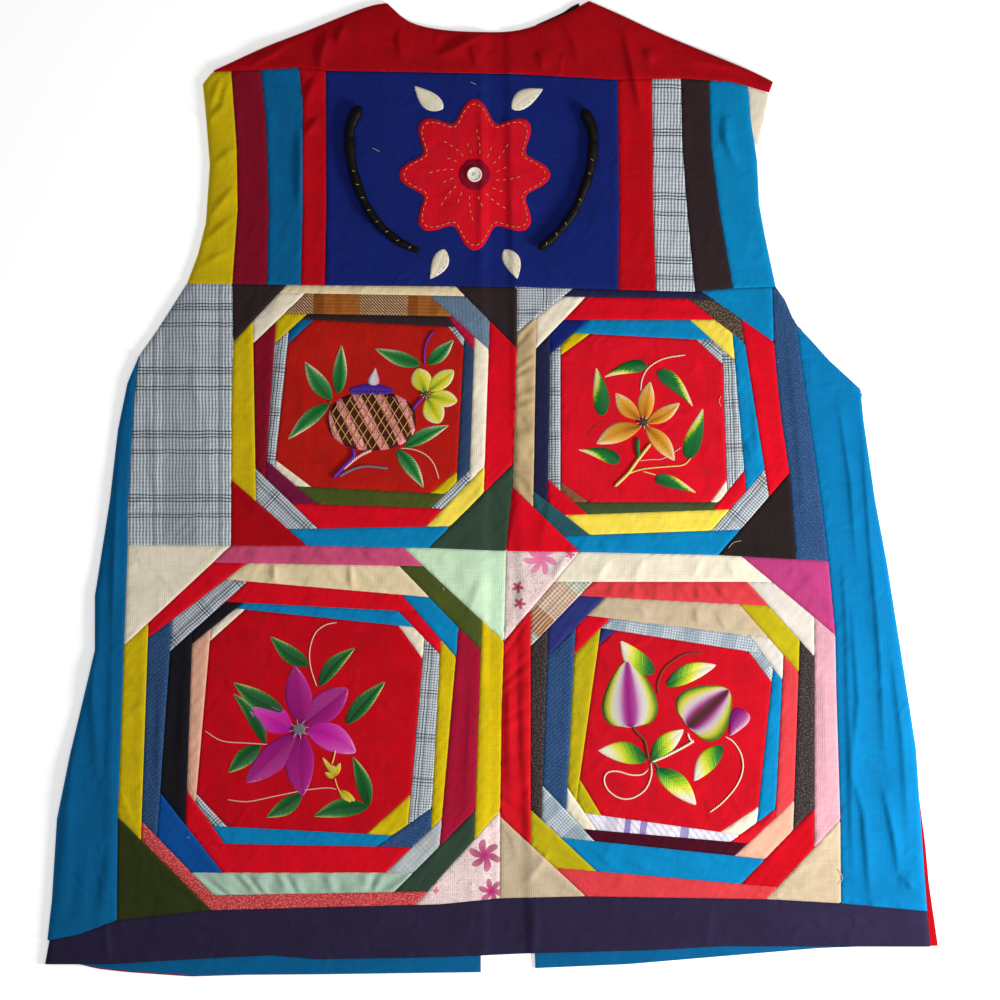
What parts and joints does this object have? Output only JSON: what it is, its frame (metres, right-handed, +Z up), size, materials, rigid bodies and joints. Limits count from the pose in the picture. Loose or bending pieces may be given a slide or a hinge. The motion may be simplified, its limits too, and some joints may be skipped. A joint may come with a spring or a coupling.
{
  "type": "patchwork vest",
  "caption": "Sleeveless patchwork vest of cotton, laid flat on its fronts with its back up: framed navy panel, pineapple blocks with embroidered centres, dark hem band.",
  "frame": {"origin": "on the surface that the vest lies on, under the middle of its outline", "axes": "+Y from the hem to the neck, +X to the right of the back as it is seen from above, +Z up from the surface"},
  "size_m": [0.6247, 0.6795, 0.0115],
  "materials": {
    "beige": "plain woven cotton",
    "black": "black twill",
    "bright_red": "plain woven cotton",
    "burgundy": "plain woven cotton",
    "coral": "speckled cotton",
    "cream": "plain woven cotton",
    "denim": "indigo denim",
    "espresso": "brushed twill",
    "green": "plain woven cotton",
    "hem_navy": "cotton twill",
    "mint": "plain woven cotton",
    "mustard": "plain woven cotton",
    "navy": "plain woven cotton in royal blue",
    "pink": "plain woven cotton",
    "plaid": "yarn-dyed plaid cotton",
    "red": "plain woven cotton",
    "rose": "plain woven cotton",
    "turquoise": "plain woven cotton",
    "yellow": "plain woven cotton"
  },
  "bodies": {
    "root": {"armhole_patch_right": "cream", "centre_panel": "navy", "cord_left": "black", "cord_right": "black", "denim_wedge": "denim", "frame_strip_left": "red", "frame_strip_right": "red", "front_left": "red", "front_lining_left": "turquoise", "front_lining_right": "turquoise", "front_right": "red", "hem_band": "hem_navy", "lower_left_centre": "bright_red", "lower_left_e": "mustard", "lower_left_n": "rose", "lower_left_ne": "mint", "lower_left_nw": "cream", "lower_left_s": "coral", "lower_left_se": "pink", "lower_left_sw": "green", "lower_left_w": "mustard", "lower_right_centre": "bright_red", "lower_right_e": "pink", "lower_right_n": "cream", "lower_right_ne": "rose", "lower_right_nw": "pink", "lower_right_s": "coral", "lower_right_se": "beige", "lower_right_sw": "beige", "lower_right_w": "red", "plaid_panel": "plaid", "rosette": "bright_red", "side_panel_left": "turquoise", "side_panel_right": "turquoise", "strip_burgundy": "burgundy", "strip_espresso": "espresso", "strip_plaid": "plaid", "strip_turquoise_left": "turquoise", "strip_turquoise_right": "turquoise", "strip_yellow": "yellow", "upper_left_centre": "bright_red", "upper_left_e": "red", "upper_left_n": "cream", "upper_left_ne": "espresso", "upper_left_nw": "espresso", "upper_left_s": "turquoise", "upper_left_se": "green", "upper_left_sw": "red", "upper_left_w": "yellow", "upper_right_centre": "bright_red", "upper_right_e": "red", "upper_right_n": "navy", "upper_right_ne": "turquoise", "upper_right_nw": "plaid", "upper_right_s": "turquoise", "upper_right_se": "black", "upper_right_sw": "red", "upper_right_w": "beige", "yoke": "red"}
  },
  "joints": []
}
